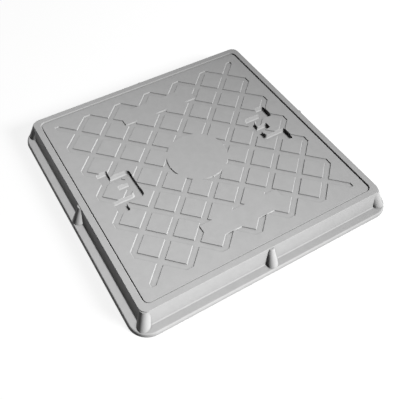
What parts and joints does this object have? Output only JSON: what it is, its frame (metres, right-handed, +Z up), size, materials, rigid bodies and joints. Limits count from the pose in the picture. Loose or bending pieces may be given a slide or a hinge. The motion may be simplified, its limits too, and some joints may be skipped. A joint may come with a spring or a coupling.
{
  "type": "drain cover",
  "caption": "Square composite drain cover with a grooved diamond tread, plain centre disc and key recesses, resting in a flanged frame with buttress ribs.",
  "frame": {"origin": "middle of the frame's underside", "axes": "+Z up; +X runs along the sides that carry the plain panels, towards one key recess; +Y towards one plain panel"},
  "size_m": [0.6936, 0.6936, 0.06],
  "materials": {
    "frame_composite": "fine-grained moulded composite, matt",
    "cover_composite": "fine-grained moulded composite, matt"
  },
  "bodies": {
    "root": {"frame": "frame_composite", "cover": "cover_composite"}
  },
  "joints": []
}
